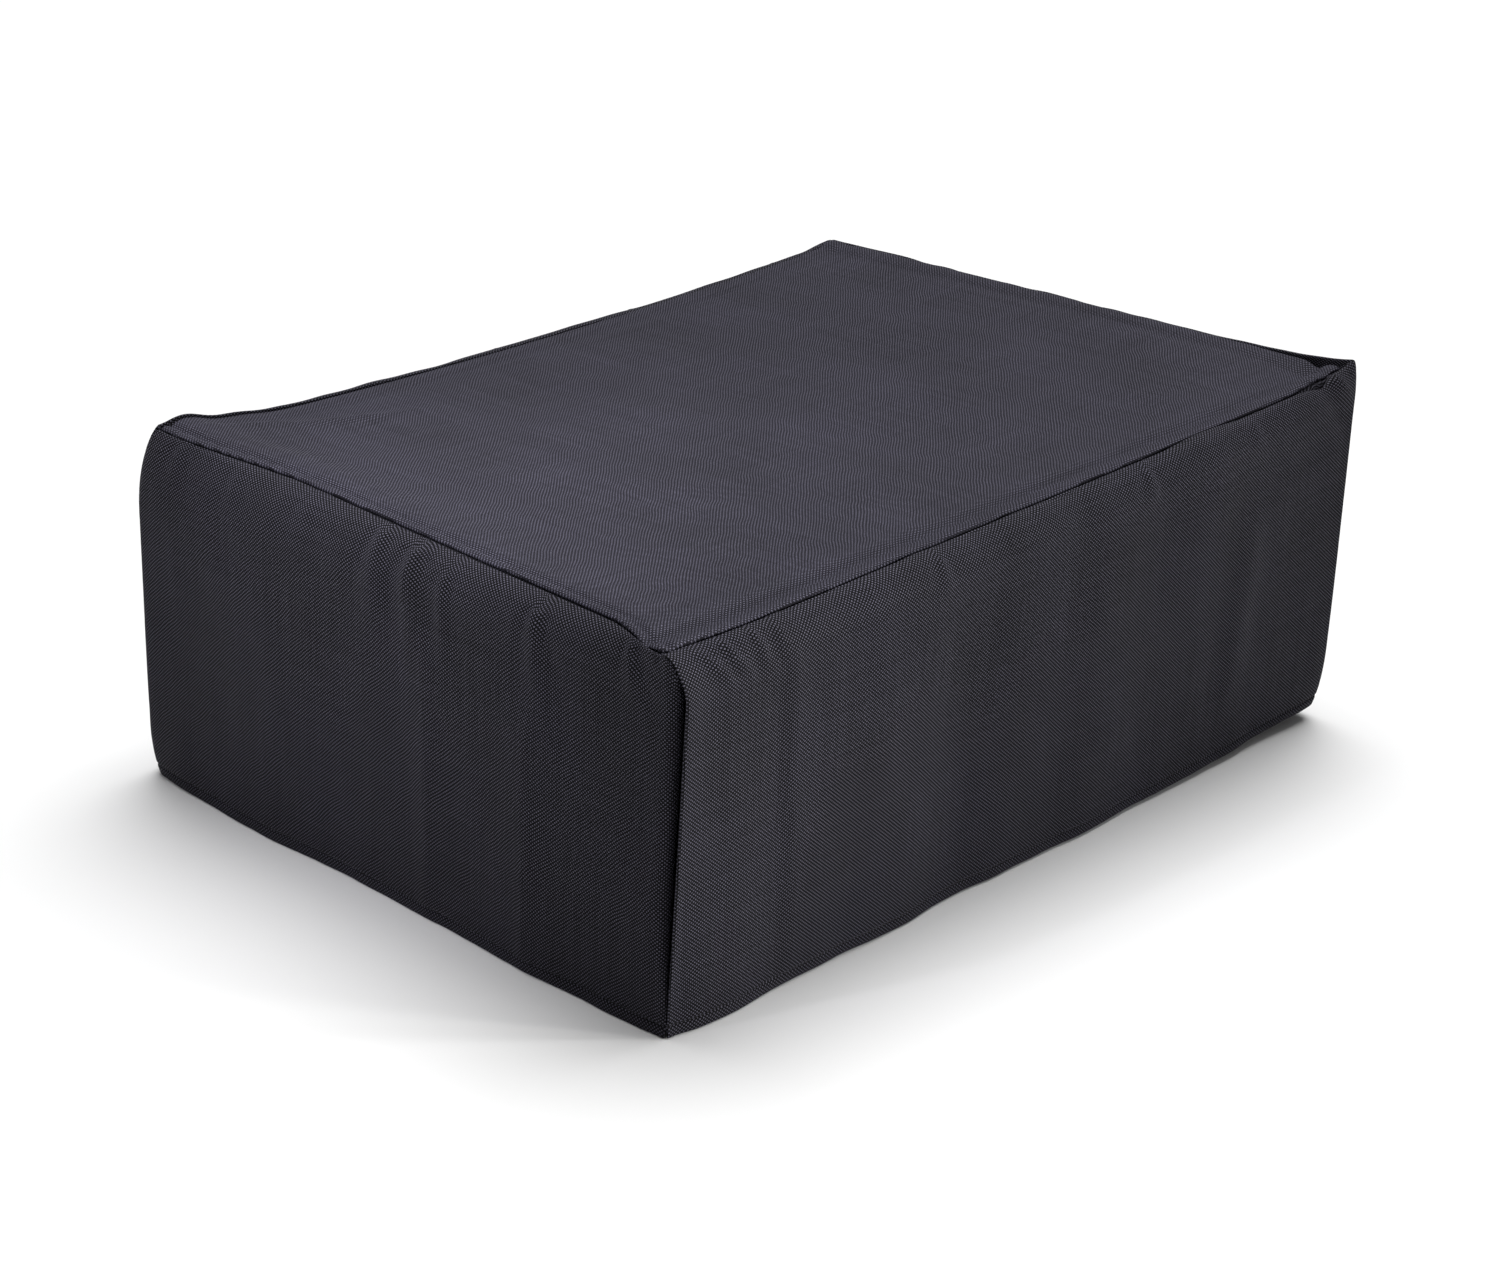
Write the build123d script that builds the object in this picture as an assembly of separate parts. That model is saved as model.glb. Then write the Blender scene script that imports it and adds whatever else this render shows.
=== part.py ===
from build123d import *
import math
import os

# A fitted dust cover for a desktop printer: a five-panel box of coated oxford cloth, open underneath,
# in the shape it takes over its printer. X runs along the long side, -Y is the front, +Z is up, and the
# origin is the centre of the rectangle that the hem stands on. All sizes are in millimetres.

# Outside size at the walls
LENGTH = 470.0
DEPTH = 356.0
HEIGHT = 180.0

# Cloth and thread
CLOTH = 0.5
THREAD = 0.3
THREAD_WIDTH = 0.4

# Top seam: each wall rolls over the top edge and passes under the top panel's turned edge
ROLL_RADIUS = 4.6
TOP_SEAM_INSET = 5.6
TOP_ALLOWANCE = 8.0
TURNED_EDGE_GAP = 0.4
TOP_STITCH_FROM_FOLD = 1.2

# Corner seams: the allowances of two walls stand face to face on the diagonal, pointing inwards
CORNER_ALLOWANCE = 6.0
CORNER_STITCH_DEPTH = 1.0

# Hem: turned twice to the inside and held by one row of stitches
HEM_HEIGHT = 8.0
HEM_LAYERS = 3
HEM_STITCH_HEIGHT = 6.0

# Overlock binding over the raw edges of each seam
OVERLOCK_WIDTH = 3.5

TOP_PANEL_UNDERSIDE = HEIGHT - CLOTH
TURNED_EDGE_TOP = TOP_PANEL_UNDERSIDE - TURNED_EDGE_GAP
TURNED_EDGE_BOTTOM = TURNED_EDGE_TOP - CLOTH
WALL_ALLOWANCE_BOTTOM = TURNED_EDGE_BOTTOM - CLOTH
ROLL_CENTRE_HEIGHT = TURNED_EDGE_BOTTOM - ROLL_RADIUS
SEAM_END = TOP_SEAM_INSET + TOP_ALLOWANCE
FIN_DEPTH = CORNER_ALLOWANCE / math.sqrt(2)
MITRE_REACH = SEAM_END + 2.0

# The walls in order round the cover, each with its width and its distance from the centre.
WALLS = ("front", "right", "rear", "left")
WIDTHS = (LENGTH, DEPTH, LENGTH, DEPTH)
DISTANCES = (DEPTH / 2, LENGTH / 2, DEPTH / 2, LENGTH / 2)
CORNERS = ("front_right", "rear_right", "rear_left", "front_left")


def block(length, depth, low, high):
    """An upright block centred on the origin, from one height to another."""
    return Pos(0, 0, (low + high) / 2) * Box(length, depth, high - low)


def ring(outer_inset, inner_inset, low, high):
    """A rectangular ring between two insets from the walls' outer faces."""
    outer = block(LENGTH - 2 * outer_inset, DEPTH - 2 * outer_inset, low, high)
    inner = block(LENGTH - 2 * inner_inset, DEPTH - 2 * inner_inset, low, high)
    return outer - inner


def plan_prism(points):
    """An upright prism over a plan outline, as tall as the cover."""
    return extrude(make_face(Polyline(*points, close=True)), amount=HEIGHT)


def turned(shape, side):
    """A shape made for the front wall, turned round the cover to another side."""
    return Rot(0, 0, 90 * side) * shape


def band(side, near, far, bottom, reach):
    """Everything between two depths behind a wall's outer face, up over the roll and inboard to a reach.

    It is made for the front and runs the full width of the wall.
    """
    outer = ROLL_RADIUS - near
    inner = ROLL_RADIUS - far
    centre = ROLL_CENTRE_HEIGHT
    slope = math.sqrt(0.5)
    outline = [
        Line((near, bottom), (near, centre)),
        ThreePointArc(
            (near, centre),
            (ROLL_RADIUS - outer * slope, centre + outer * slope),
            (ROLL_RADIUS, centre + outer),
        ),
        Line((ROLL_RADIUS, centre + outer), (reach, centre + outer)),
        Line((reach, centre + outer), (reach, centre + inner)),
        Line((reach, centre + inner), (ROLL_RADIUS, centre + inner)),
        ThreePointArc(
            (ROLL_RADIUS, centre + inner),
            (ROLL_RADIUS - inner * slope, centre + inner * slope),
            (far, centre),
        ),
        Line((far, centre), (far, bottom)),
        Line((far, bottom), (near, bottom)),
    ]
    section = Plane.YZ * Pos(-DISTANCES[side], 0) * make_face(outline)
    return extrude(section, amount=WIDTHS[side] / 2, both=True)


def mitre_wedge(side):
    """The plan space of one wall, between the diagonals of its two corners."""
    half = WIDTHS[side] / 2
    front = -DISTANCES[side]
    points = [
        (-half, front),
        (half, front),
        (half - MITRE_REACH, front + MITRE_REACH),
        (-half + MITRE_REACH, front + MITRE_REACH),
    ]
    return plan_prism(points)


def diagonal_strip(side, end, near, far):
    """An upright slab beside a corner's diagonal, on this wall's side; end is -1 or 1 along the wall."""
    corner = Vector(end * WIDTHS[side] / 2, -DISTANCES[side])
    inward = Vector(-end, 1) * MITRE_REACH
    along = Vector(-end, -1) * math.sqrt(0.5)
    points = [
        corner + along * near,
        corner + along * near + inward,
        corner + along * far + inward,
        corner + along * far,
    ]
    return plan_prism(points)


def hem_fold(side):
    """The hem's turned layers, pressed flat against the wall's inner face."""
    width = WIDTHS[side]
    depth = HEM_LAYERS * CLOTH
    return Pos(0, -DISTANCES[side] + depth / 2, HEM_HEIGHT / 2) * Box(width, depth, HEM_HEIGHT)


def wall_panel(side):
    """One wall: upright cloth, rolled top, allowance under the top panel, corner fins and hem."""
    cloth = band(side, 0, CLOTH, 0, SEAM_END) + hem_fold(side)
    panel = cloth & mitre_wedge(side)
    for end in (-1, 1):
        fin_space = band(side, 0, FIN_DEPTH, HEM_HEIGHT, TOP_SEAM_INSET)
        panel += fin_space & diagonal_strip(side, end, 0, CLOTH) & mitre_wedge(side)
    return turned(panel, side)


def top_panel():
    """The top: one flat sheet whose edge is turned under all round, with a gap inside the fold."""
    sheet = block(
        LENGTH - 2 * TOP_SEAM_INSET, DEPTH - 2 * TOP_SEAM_INSET, TOP_PANEL_UNDERSIDE, HEIGHT
    )
    fold = ring(TOP_SEAM_INSET, TOP_SEAM_INSET + CLOTH, TURNED_EDGE_BOTTOM, HEIGHT)
    allowance = ring(TOP_SEAM_INSET, SEAM_END, TURNED_EDGE_BOTTOM, TURNED_EDGE_TOP)
    return sheet + fold + allowance


def top_seam_thread(low):
    """One row of thread round the top seam, lying on a face at the given height."""
    inset = TOP_SEAM_INSET + TOP_STITCH_FROM_FOLD
    return ring(inset, inset + THREAD_WIDTH, low, low + THREAD)


def top_seam_overlock():
    """The binding over the top seam's raw edges: a leg above, a leg below and the turn that joins them."""
    low = WALL_ALLOWANCE_BOTTOM - THREAD
    high = TURNED_EDGE_TOP + THREAD
    upper = ring(SEAM_END - OVERLOCK_WIDTH, SEAM_END + THREAD, TURNED_EDGE_TOP, high)
    turn = ring(SEAM_END, SEAM_END + THREAD, low, high)
    lower = ring(SEAM_END - OVERLOCK_WIDTH, SEAM_END + THREAD, low, WALL_ALLOWANCE_BOTTOM)
    return upper + turn + lower


def corner_seam_thread(side, end):
    """One row of thread up a corner seam, on this wall's side of the two fins."""
    depths = band(
        side, CORNER_STITCH_DEPTH, CORNER_STITCH_DEPTH + THREAD_WIDTH, HEM_HEIGHT, TOP_SEAM_INSET
    )
    thread = depths & diagonal_strip(side, end, CLOTH, CLOTH + THREAD)
    return turned(thread, side)


def overlock_half(side, end):
    """This wall's half of the binding over a corner seam's raw edges."""
    near = FIN_DEPTH - OVERLOCK_WIDTH / math.sqrt(2)
    far = FIN_DEPTH + THREAD
    leg_space = band(side, near, far, HEM_HEIGHT, TOP_SEAM_INSET)
    turn_space = band(side, FIN_DEPTH, far, HEM_HEIGHT, TOP_SEAM_INSET)
    leg = leg_space & diagonal_strip(side, end, CLOTH, CLOTH + THREAD)
    turn = turn_space & diagonal_strip(side, end, 0, CLOTH + THREAD)
    return turned(leg + turn, side)


def hem_thread(outer_inset):
    """One row of thread round the hem, on the face at the given inset."""
    low = HEM_STITCH_HEIGHT - THREAD_WIDTH / 2
    return ring(outer_inset, outer_inset + THREAD, low, low + THREAD_WIDTH)


nodes = {
    "top_panel": top_panel(),
    "top_seam_needle_thread": top_seam_thread(TURNED_EDGE_TOP),
    "top_seam_bobbin_thread": top_seam_thread(WALL_ALLOWANCE_BOTTOM - THREAD),
    "top_seam_overlock": top_seam_overlock(),
    "hem_needle_thread": hem_thread(-THREAD),
    "hem_bobbin_thread": hem_thread(HEM_LAYERS * CLOTH),
}
for side, wall in enumerate(WALLS):
    nodes[f"{wall}_panel"] = wall_panel(side)
for side, corner in enumerate(CORNERS):
    neighbour = (side + 1) % len(WALLS)
    nodes[f"corner_seam_needle_thread_{corner}"] = corner_seam_thread(side, 1)
    nodes[f"corner_seam_bobbin_thread_{corner}"] = corner_seam_thread(neighbour, -1)
    nodes[f"corner_seam_overlock_{corner}"] = overlock_half(side, 1) + overlock_half(neighbour, -1)

for name, shape in nodes.items():
    export_step(shape, f"parts/{name}.step")
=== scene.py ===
import math

import bpy
import numpy as np
from mathutils import Matrix, Vector


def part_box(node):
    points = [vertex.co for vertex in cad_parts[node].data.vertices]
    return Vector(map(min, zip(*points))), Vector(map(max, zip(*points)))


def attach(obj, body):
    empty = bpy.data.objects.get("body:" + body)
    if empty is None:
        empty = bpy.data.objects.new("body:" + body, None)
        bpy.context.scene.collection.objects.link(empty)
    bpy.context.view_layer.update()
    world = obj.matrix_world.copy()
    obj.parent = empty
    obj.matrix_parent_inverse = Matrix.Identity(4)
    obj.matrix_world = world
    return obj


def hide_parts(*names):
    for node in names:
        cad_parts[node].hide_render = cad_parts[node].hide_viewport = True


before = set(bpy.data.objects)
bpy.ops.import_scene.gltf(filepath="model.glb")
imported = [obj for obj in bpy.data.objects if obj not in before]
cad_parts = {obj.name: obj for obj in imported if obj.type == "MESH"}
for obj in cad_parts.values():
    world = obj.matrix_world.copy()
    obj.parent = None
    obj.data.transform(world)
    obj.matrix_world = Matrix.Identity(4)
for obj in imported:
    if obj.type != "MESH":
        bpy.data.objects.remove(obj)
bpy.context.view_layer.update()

# A fitted dust cover in black oxford cloth. The CAD nodes give its size. Every sheet is rebuilt here as one
# continuous cloth surface with its rolls, gathers, creases, hem and seam allowances, and every row of thread
# as separate stitches. Lengths are in millimetres until a mesh is made. X runs along the long side and -Y is
# the front. The camera sees the front, the left side and the top.

MM = 0.001

# ------------------------------ sizes
wall_low, wall_high = (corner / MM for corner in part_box("front_panel"))
top_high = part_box("top_panel")[1] / MM

HALF_LENGTH = wall_high.x
HALF_DEPTH = -wall_low.y
HEIGHT = top_high.z

CLOTH = 0.5
LAYER = 0.62  # from one pressed layer of cloth to the next
FOLD_GAP = 1.5  # from the top sheet down to its turned edge
SEAM_ALLOWANCE = 8.0
CORNER_ALLOWANCE = 6.0
HEM = 8.0
HEM_STITCH_HEIGHT = 6.0
HEM_TURN_HEIGHT = 0.9

HEM_GROOVE_DEPTH = 1.1
HEM_GROOVE_WIDTH = 0.65
FIN_GAP = 0.62  # between the middles of two sewn corner allowances, measured along either wall

# Weave: one thread every so many millimetres across and up the cloth
WARP_PITCH = 0.98
WEFT_PITCH = 0.88

# Stitches, from one to the next and from end to end, and the overlock's loops
STITCH_PITCH = 3.3
STITCH_LENGTH = 2.9
OVERLOCK_PITCH = 2.6
OVERLOCK_WIDTH = 3.2
OVERLOCK_HALF_THICKNESS = 0.36

# The size by which a distance in from the top seam is turned into a share of the top panel
LOOP_LENGTH = 2 * HALF_LENGTH - 10
LOOP_DEPTH = 2 * HALF_DEPTH - 20

# How finely things are divided: each wall's columns, and the points along and across the top panel and
# along and across the loops that carry its seam's threads
WALL_COLUMNS = (176, 134, 176, 134)
TOP_COUNTS = (170, 130)
SEAM_COUNTS = (240, 180)

# The walls in order round the cover. In a wall's own coordinates a runs along it, from left to right as
# seen from outside, o is the distance outside its CAD face, and z is up.
WALLS = ("front", "right", "rear", "left")
HALF = (HALF_LENGTH, HALF_DEPTH, HALF_LENGTH, HALF_DEPTH)
DISTANCE = (HALF_DEPTH, HALF_LENGTH, HALF_DEPTH, HALF_LENGTH)
CORNERS = ("front_right", "rear_right", "rear_left", "front_left")


def corner_shape(foot, shoulder, shoulder_z, seam, seam_z, **more):
    """How a corner stands. Pairs are for the wall before it and the wall after it.

    The foot is on the floor, the shoulder is where the walls begin to roll over, and the seam is where they
    pass under the top panel, each as distances outside the walls' faces. The crest is the top of the roll,
    as distances from the seam, and crest_slope is how steeply the roll arrives there. Tuck moves the very
    foot out, or in where it is negative, and hem_up is how far pulled-up cloth lifts the hem off the floor.
    """
    shape = {
        "foot": foot,
        "shoulder": shoulder,
        "shoulder_z": (shoulder_z, shoulder_z),
        "seam": seam,
        "seam_z": (seam_z, seam_z),
        "crest_out": (1.6, 1.6),
        "crest_up": (-0.5, -0.5),
        "crest_slope": (0.0, 0.0),
        "tuck": (0.0, 0.0),
        "hem_up": (0.0, 0.0),
        "radius": (8.0, 8.0),
    }
    shape.update(more)
    shape.setdefault("foot_radius", shape["radius"])
    return shape


CORNER_SHAPES = {
    "front_right": corner_shape(
        (-1.6, 3.4), (1.2, 4.4), 174.0, (-8.5, -2.0), 188.0,
        crest_out=(5.5, 4.4), crest_up=(5.6, 5.0), tuck=(-7.0, -6.0), hem_up=(8.0, 8.0), radius=(6.0, 6.0),
    ),
    "rear_right": corner_shape((1.0, 2.0), (0.5, 1.0), 162.0, (-6.7, -12.0), 177.0),
    "rear_left": corner_shape(
        (7.5, 2.6), (6.2, 2.8), 134.0, (-8.5, -7.0), 180.0,
        crest_slope=(0.16, 0.16), tuck=(-3.0, -4.5), radius=(9.0, 9.0),
    ),
    "front_left": corner_shape(
        (1.4, -1.2), (-1.6, 6.0), 156.0, (-3.4, -9.8), 176.0,
        tuck=(-0.6, 0.4), radius=(13.0, 2.2), foot_radius=(3.0, 2.2),
    ),
}
CORNER_KEYS = (
    "foot", "shoulder", "shoulder_z", "seam", "seam_z",
    "crest_out", "crest_up", "crest_slope", "tuck", "hem_up",
)
# What a corner does to its crest and foot fades along the wall, to less than half over this reach.
REACH = {"crest_out": 14.0, "crest_up": 14.0, "crest_slope": 38.0, "tuck": 38.0, "hem_up": 90.0}
RIGHT_COLLAR_REACH = 38.0  # the collar's height fades more slowly along the right wall
# Between its corners, where each wall's roll is highest: (outside the seam line, above it)
CRESTS = ((2.1, -0.4), (1.2, -0.6), (1.2, -0.9), (2.0, -1.3))
# Near the collar the front wall stands away from the top panel: where along it, and over what width
MOUTH_PLACE = 213.0
MOUTH_WIDTH = 13.0


# ------------------------------ helpers
def smooth(t):
    """A step from 0 to 1 with level ends."""
    t = np.clip(t, 0.0, 1.0)
    return t * t * (3 - 2 * t)


def bump(x, centre, width):
    """A soft hill of height 1."""
    return np.exp(-(((x - centre) / width) ** 2))


def ridge(x, centre, width):
    """A hill of height 1 with a creased top."""
    return np.exp(-(np.sqrt(((x - centre) / width) ** 2 + 0.04) - 0.2))


def between(x, low, high, blur):
    """1 between low and high, fading to 0 over the blur at each end."""
    return smooth((x - low) / blur + 0.5) * smooth((high - x) / blur + 0.5)


def waves(x, y, seed, count, shortest, longest, upright=1.0):
    """Smooth undulation of about plus or minus 1, the same on each run.

    An upright above 1 draws the waves out along y.
    """
    random = np.random.RandomState(seed)
    total = np.zeros(np.broadcast(x, y).shape)
    for _ in range(count):
        length = random.uniform(shortest, longest)
        heading = random.uniform(0, 2 * math.pi)
        phase = random.uniform(0, 2 * math.pi)
        along = x * math.cos(heading) + y * math.sin(heading) / upright
        total = total + np.sin(2 * math.pi * along / length + phase)
    return total / math.sqrt(count)


def bezier(p0, p1, p2, p3, t):
    """A cubic curve through p0 and p3, with p1 and p2 as its handles."""
    s = 1 - t
    return s**3 * p0 + 3 * s * s * t * p1 + 3 * s * t * t * p2 + t**3 * p3


def to_frame(wall, a, o, z):
    """Wall coordinates to the cover's x, y, z."""
    out = DISTANCE[wall] + o
    x, y = ((a, -out), (out, a), (-a, out), (-out, -a))[wall]
    return np.stack(np.broadcast_arrays(x, y, z), -1)


def grid_quads(rows, columns):
    """The quads of a grid of points, by row and column."""
    index = np.arange(rows * columns).reshape(rows, columns)
    return np.stack([index[:-1, :-1], index[:-1, 1:], index[1:, 1:], index[1:, :-1]], -1)


def closed(loop):
    """A loop of points with its first one repeated at the end."""
    return np.concatenate([loop, loop[:1]])


def mesh_object(name, points, faces, material, weave=None):
    """A smooth-shaded mesh from points in millimetres; weave holds each point's place in the flat cloth."""
    mesh = bpy.data.meshes.new(name)
    mesh.from_pydata((points * MM).tolist(), [], faces)
    mesh.polygons.foreach_set("use_smooth", [True] * len(mesh.polygons))
    if weave is not None:
        corners = np.empty(len(mesh.loops), int)
        mesh.loops.foreach_get("vertex_index", corners)
        layer = mesh.uv_layers.new(name="weave")
        layer.data.foreach_set("uv", weave[corners].ravel())
    mesh.materials.append(material)
    piece = bpy.data.objects.new(name, mesh)
    bpy.context.scene.collection.objects.link(piece)
    return piece


def thicken(piece):
    """Gives a cloth surface its thickness, half to each side."""
    solidify = piece.modifiers.new("cloth_thickness", "SOLIDIFY")
    solidify.thickness = CLOTH * MM
    solidify.offset = 0.0
    solidify.use_rim = True


# ------------------------------ materials
class Nodes:
    """Short names for the shader nodes that the materials use."""

    def __init__(self, name):
        self.material = bpy.data.materials.new(name)
        self.material.use_nodes = True
        self.tree = self.material.node_tree
        self.shader = self.tree.nodes["Principled BSDF"]

    def link(self, value, socket):
        """Joins an output to a socket, or sets the socket to a number or colour."""
        if hasattr(value, "is_linked"):
            self.tree.links.new(value, socket)
        else:
            socket.default_value = value

    def math(self, operation, first, second=0.0):
        node = self.tree.nodes.new("ShaderNodeMath")
        node.operation = operation
        self.link(first, node.inputs[0])
        self.link(second, node.inputs[1])
        return node.outputs[0]

    def mix(self, share, first, second):
        """The first colour at share 0 and the second at share 1."""
        node = self.tree.nodes.new("ShaderNodeMix")
        node.data_type = "RGBA"
        self.link(share, node.inputs["Factor"])
        self.link(first, node.inputs["A"])
        self.link(second, node.inputs["B"])
        return node.outputs["Result"]

    def ranged(self, value, low, high, new_low, new_high):
        """Carries the range from low to high over to the new range, and stops at its ends."""
        node = self.tree.nodes.new("ShaderNodeMapRange")
        self.link(value, node.inputs["Value"])
        for socket, number in zip(node.inputs[1:5], (low, high, new_low, new_high)):
            socket.default_value = number
        return node.outputs["Result"]

    def noise(self, vector, scale, detail=2.0):
        node = self.tree.nodes.new("ShaderNodeTexNoise")
        self.tree.links.new(vector, node.inputs["Vector"])
        node.inputs["Scale"].default_value = scale
        node.inputs["Detail"].default_value = detail
        return node.outputs["Fac"]

    def scaled(self, vector, scale):
        node = self.tree.nodes.new("ShaderNodeMapping")
        self.tree.links.new(vector, node.inputs["Vector"])
        node.inputs["Scale"].default_value = scale
        return node.outputs["Vector"]

    def bump(self, height, distance, strength):
        node = self.tree.nodes.new("ShaderNodeBump")
        node.inputs["Distance"].default_value = distance
        node.inputs["Strength"].default_value = strength
        self.tree.links.new(height, node.inputs["Height"])
        return node.outputs["Normal"]


# How much paler the painted highlight makes the roll over the top edge
ROLL_HIGHLIGHT_GAIN = 1.32


def oxford_cloth(name, thread, tint, gap, roll_highlight_heights=None):
    """Coarse plain weave in twisted polyester: raised threads that pass over and under, with dark gaps.

    Between the two heights given, the cloth is painted paler: a painted highlight where the wall rolls over
    the top edge towards the light.
    """
    n = Nodes(name)
    place = n.tree.nodes.new("ShaderNodeUVMap")
    place.uv_map = "weave"
    place = place.outputs["UV"]
    split = n.tree.nodes.new("ShaderNodeSeparateXYZ")
    n.tree.links.new(place, split.inputs[0])

    # Threads wander a little, so the rows are never quite straight.
    wander = n.ranged(n.noise(n.scaled(place, (0.05, 0.05, 1.0)), 1.0, 1.0), 0.3, 0.7, -0.35, 0.35)
    across = n.math("ADD", split.outputs["X"], wander)
    along = n.math("SUBTRACT", split.outputs["Y"], wander)
    warp = n.math("SINE", n.math("MULTIPLY", across, math.pi / WARP_PITCH))
    weft = n.math("SINE", n.math("MULTIPLY", along, math.pi / WEFT_PITCH))
    crossing = n.math("MULTIPLY", warp, weft)
    # The warp lies over at every other crossing and catches the light, a highlight painted into its colour
    # as well as raised in the bump. The weft between is lower and painted darker, and the gaps between
    # threads are painted in shade.
    over = n.ranged(crossing, 0.16, 0.54, 0.0, 1.0)
    under = n.ranged(crossing, -0.4, -0.95, 0.0, 0.12)
    height = n.math("ADD", over, under)

    # Some threads are paler than their neighbours, and the dye is a little uneven.
    warp_streak = n.noise(n.scaled(place, (1.0 / WARP_PITCH, 0.012, 1.0)), 1.0, 1.0)
    weft_streak = n.noise(n.scaled(place, (0.012, 1.0 / WEFT_PITCH, 1.0)), 1.0, 1.0)
    streak = n.math("ADD", warp_streak, weft_streak)
    cloud = n.noise(n.scaled(place, (0.02, 0.012, 1.0)), 1.0, 3.0)
    grain = n.noise(place, 1.4, 2.0)
    streaks = n.ranged(streak, 0.7, 1.3, 0.82, 1.18)
    shade = n.math("MULTIPLY", streaks, n.ranged(cloud, 0.3, 0.7, 0.9, 1.12))
    shade = n.math("MULTIPLY", shade, n.ranged(grain, 0.3, 0.7, 0.84, 1.16))
    # A painted highlight on the roll over the top edge, between the two heights.
    if roll_highlight_heights is not None:
        shade = n.math("MULTIPLY", shade, n.ranged(split.outputs["Y"], *roll_highlight_heights, 1.0, ROLL_HIGHLIGHT_GAIN))
    yarn = n.mix(n.ranged(cloud, 0.35, 0.65, 0.0, 1.0), (*thread, 1.0), (*tint, 1.0))
    colour = n.mix(height, (*gap, 1.0), yarn)
    scale = n.tree.nodes.new("ShaderNodeVectorMath")
    scale.operation = "SCALE"
    n.tree.links.new(colour, scale.inputs[0])
    n.tree.links.new(shade, scale.inputs["Scale"])
    n.tree.links.new(scale.outputs["Vector"], n.shader.inputs["Base Color"])

    fibre = n.noise(n.scaled(place, (2.5, 2.5, 1.0)), 2.0, 2.0)
    relief = n.math("ADD", height, n.math("MULTIPLY", fibre, 0.25))
    n.tree.links.new(n.bump(relief, 0.0002, 0.75), n.shader.inputs["Normal"])
    n.tree.links.new(n.ranged(height, 0.0, 1.0, 0.78, 0.5), n.shader.inputs["Roughness"])
    n.shader.inputs["Specular IOR Level"].default_value = 0.06
    n.shader.inputs["Sheen Weight"].default_value = 0.015
    n.shader.inputs["Sheen Roughness"].default_value = 0.45
    n.shader.inputs["Sheen Tint"].default_value = (0.80, 0.80, 0.95, 1.0)
    return n.material


def twisted_thread(name, colour, roughness, twist):
    """Polyester thread: fine slanting plies with a dull surface."""
    n = Nodes(name)
    place = n.tree.nodes.new("ShaderNodeTexCoord").outputs["Object"]
    ply = n.tree.nodes.new("ShaderNodeTexWave")
    ply.bands_direction = "DIAGONAL"
    ply.inputs["Scale"].default_value = twist
    ply.inputs["Distortion"].default_value = 1.5
    n.tree.links.new(place, ply.inputs["Vector"])
    dark = tuple(0.45 * part for part in colour)
    n.tree.links.new(n.mix(ply.outputs["Fac"], (*dark, 1.0), (*colour, 1.0)), n.shader.inputs["Base Color"])
    n.tree.links.new(n.bump(ply.outputs["Fac"], 0.00006, 0.5), n.shader.inputs["Normal"])
    n.shader.inputs["Roughness"].default_value = roughness
    n.shader.inputs["Sheen Weight"].default_value = 0.02
    n.shader.inputs["Specular IOR Level"].default_value = 0.15
    return n.material


def studio_floor():
    """A white floor, very slightly uneven."""
    n = Nodes("studio_floor")
    place = n.tree.nodes.new("ShaderNodeTexCoord").outputs["Object"]
    tone = n.mix(n.noise(place, 3.0, 2.0), (0.90, 0.90, 0.90, 1.0), (0.93, 0.93, 0.93, 1.0))
    n.tree.links.new(tone, n.shader.inputs["Base Color"])
    n.shader.inputs["Roughness"].default_value = 0.9
    n.shader.inputs["Specular IOR Level"].default_value = 0.1
    return n.material


# The top and the walls are one cloth in two copies: the top's copy is painted paler and the walls' copy
# darker, painted light on the top and painted shade on the walls for light that falls mostly from above.
LIT_TOP_CLOTH = oxford_cloth(
    "top_cloth", thread=(0.122, 0.118, 0.155), tint=(0.114, 0.110, 0.150), gap=(0.016, 0.015, 0.020)
)
SHADED_WALL_CLOTH = oxford_cloth(
    "wall_cloth",
    thread=(0.092, 0.088, 0.113),
    tint=(0.085, 0.081, 0.109),
    gap=(0.002, 0.002, 0.002),
    # heights of the painted highlight on the roll over the top edge
    roll_highlight_heights=(148.0, 182.0),
)
SEWING_THREAD = twisted_thread("sewing_thread", (0.009, 0.009, 0.011), 0.6, 1800.0)
OVERLOCK_THREAD = twisted_thread("overlock_thread", (0.032, 0.032, 0.036), 0.7, 2400.0)


# ------------------------------ wall outline
def seam_middle(wall, a, f):
    """How the seam line runs between its corners: (further out, higher). It is never quite straight."""
    belly = np.sin(math.pi * f)
    if wall == 0:
        return 4.2 * smooth(f / 0.1) * smooth((1 - f) / 0.12), 0.35 * np.sin(math.pi * f * 2)
    if wall == 1:
        return -1.5 * belly, 1.2 * belly
    if wall == 2:
        lift = 6.5 * bump(a, 214, 15) + 2.5 * bump(a, 186, 18)
        return 1.0 * belly, -8.6 * belly**0.5 * smooth(f / 0.05) + lift
    return -9.0 * smooth((1 - f) / 0.12) * smooth(f / 0.3), 0.2 * belly


def shoulder_middle(wall, a, f):
    """How the shoulder runs between its corners: (further out, higher)."""
    belly = smooth(f / 0.25) * smooth((1 - f) / 0.25)
    out = (4.2, 3.0, 3.5, 1.6)[wall]
    up = (1.0, 1.0, 3.0, 9.0)[wall]
    return out * belly, up * belly


def foot_middle(wall, a, f):
    """How the hem runs on the floor between its corners, further out."""
    if wall == 0:
        flare = 2.6 * bump(a, -198, 26) + 1.2 * bump(a, -150, 45)
        return flare - 1.2 * bump(a, 20, 60) - 2.2 * smooth((a - 20) / 200) * smooth((1 - f) / 0.05)
    if wall == 1:
        return 1.5 * bump(a, -80, 50) + 1.0 * bump(a, 90, 45) - 1.5 * bump(a, 10, 40)
    if wall == 2:
        return 1.8 * bump(a, 120, 60) - 1.5 * bump(a, -20, 60) + 1.2 * bump(a, -150, 45)
    return 2.6 * bump(a, 91, 30) + 2.4 * bump(a, -92, 34) + 0.6 * bump(a, 150, 18) + 0.4


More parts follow.
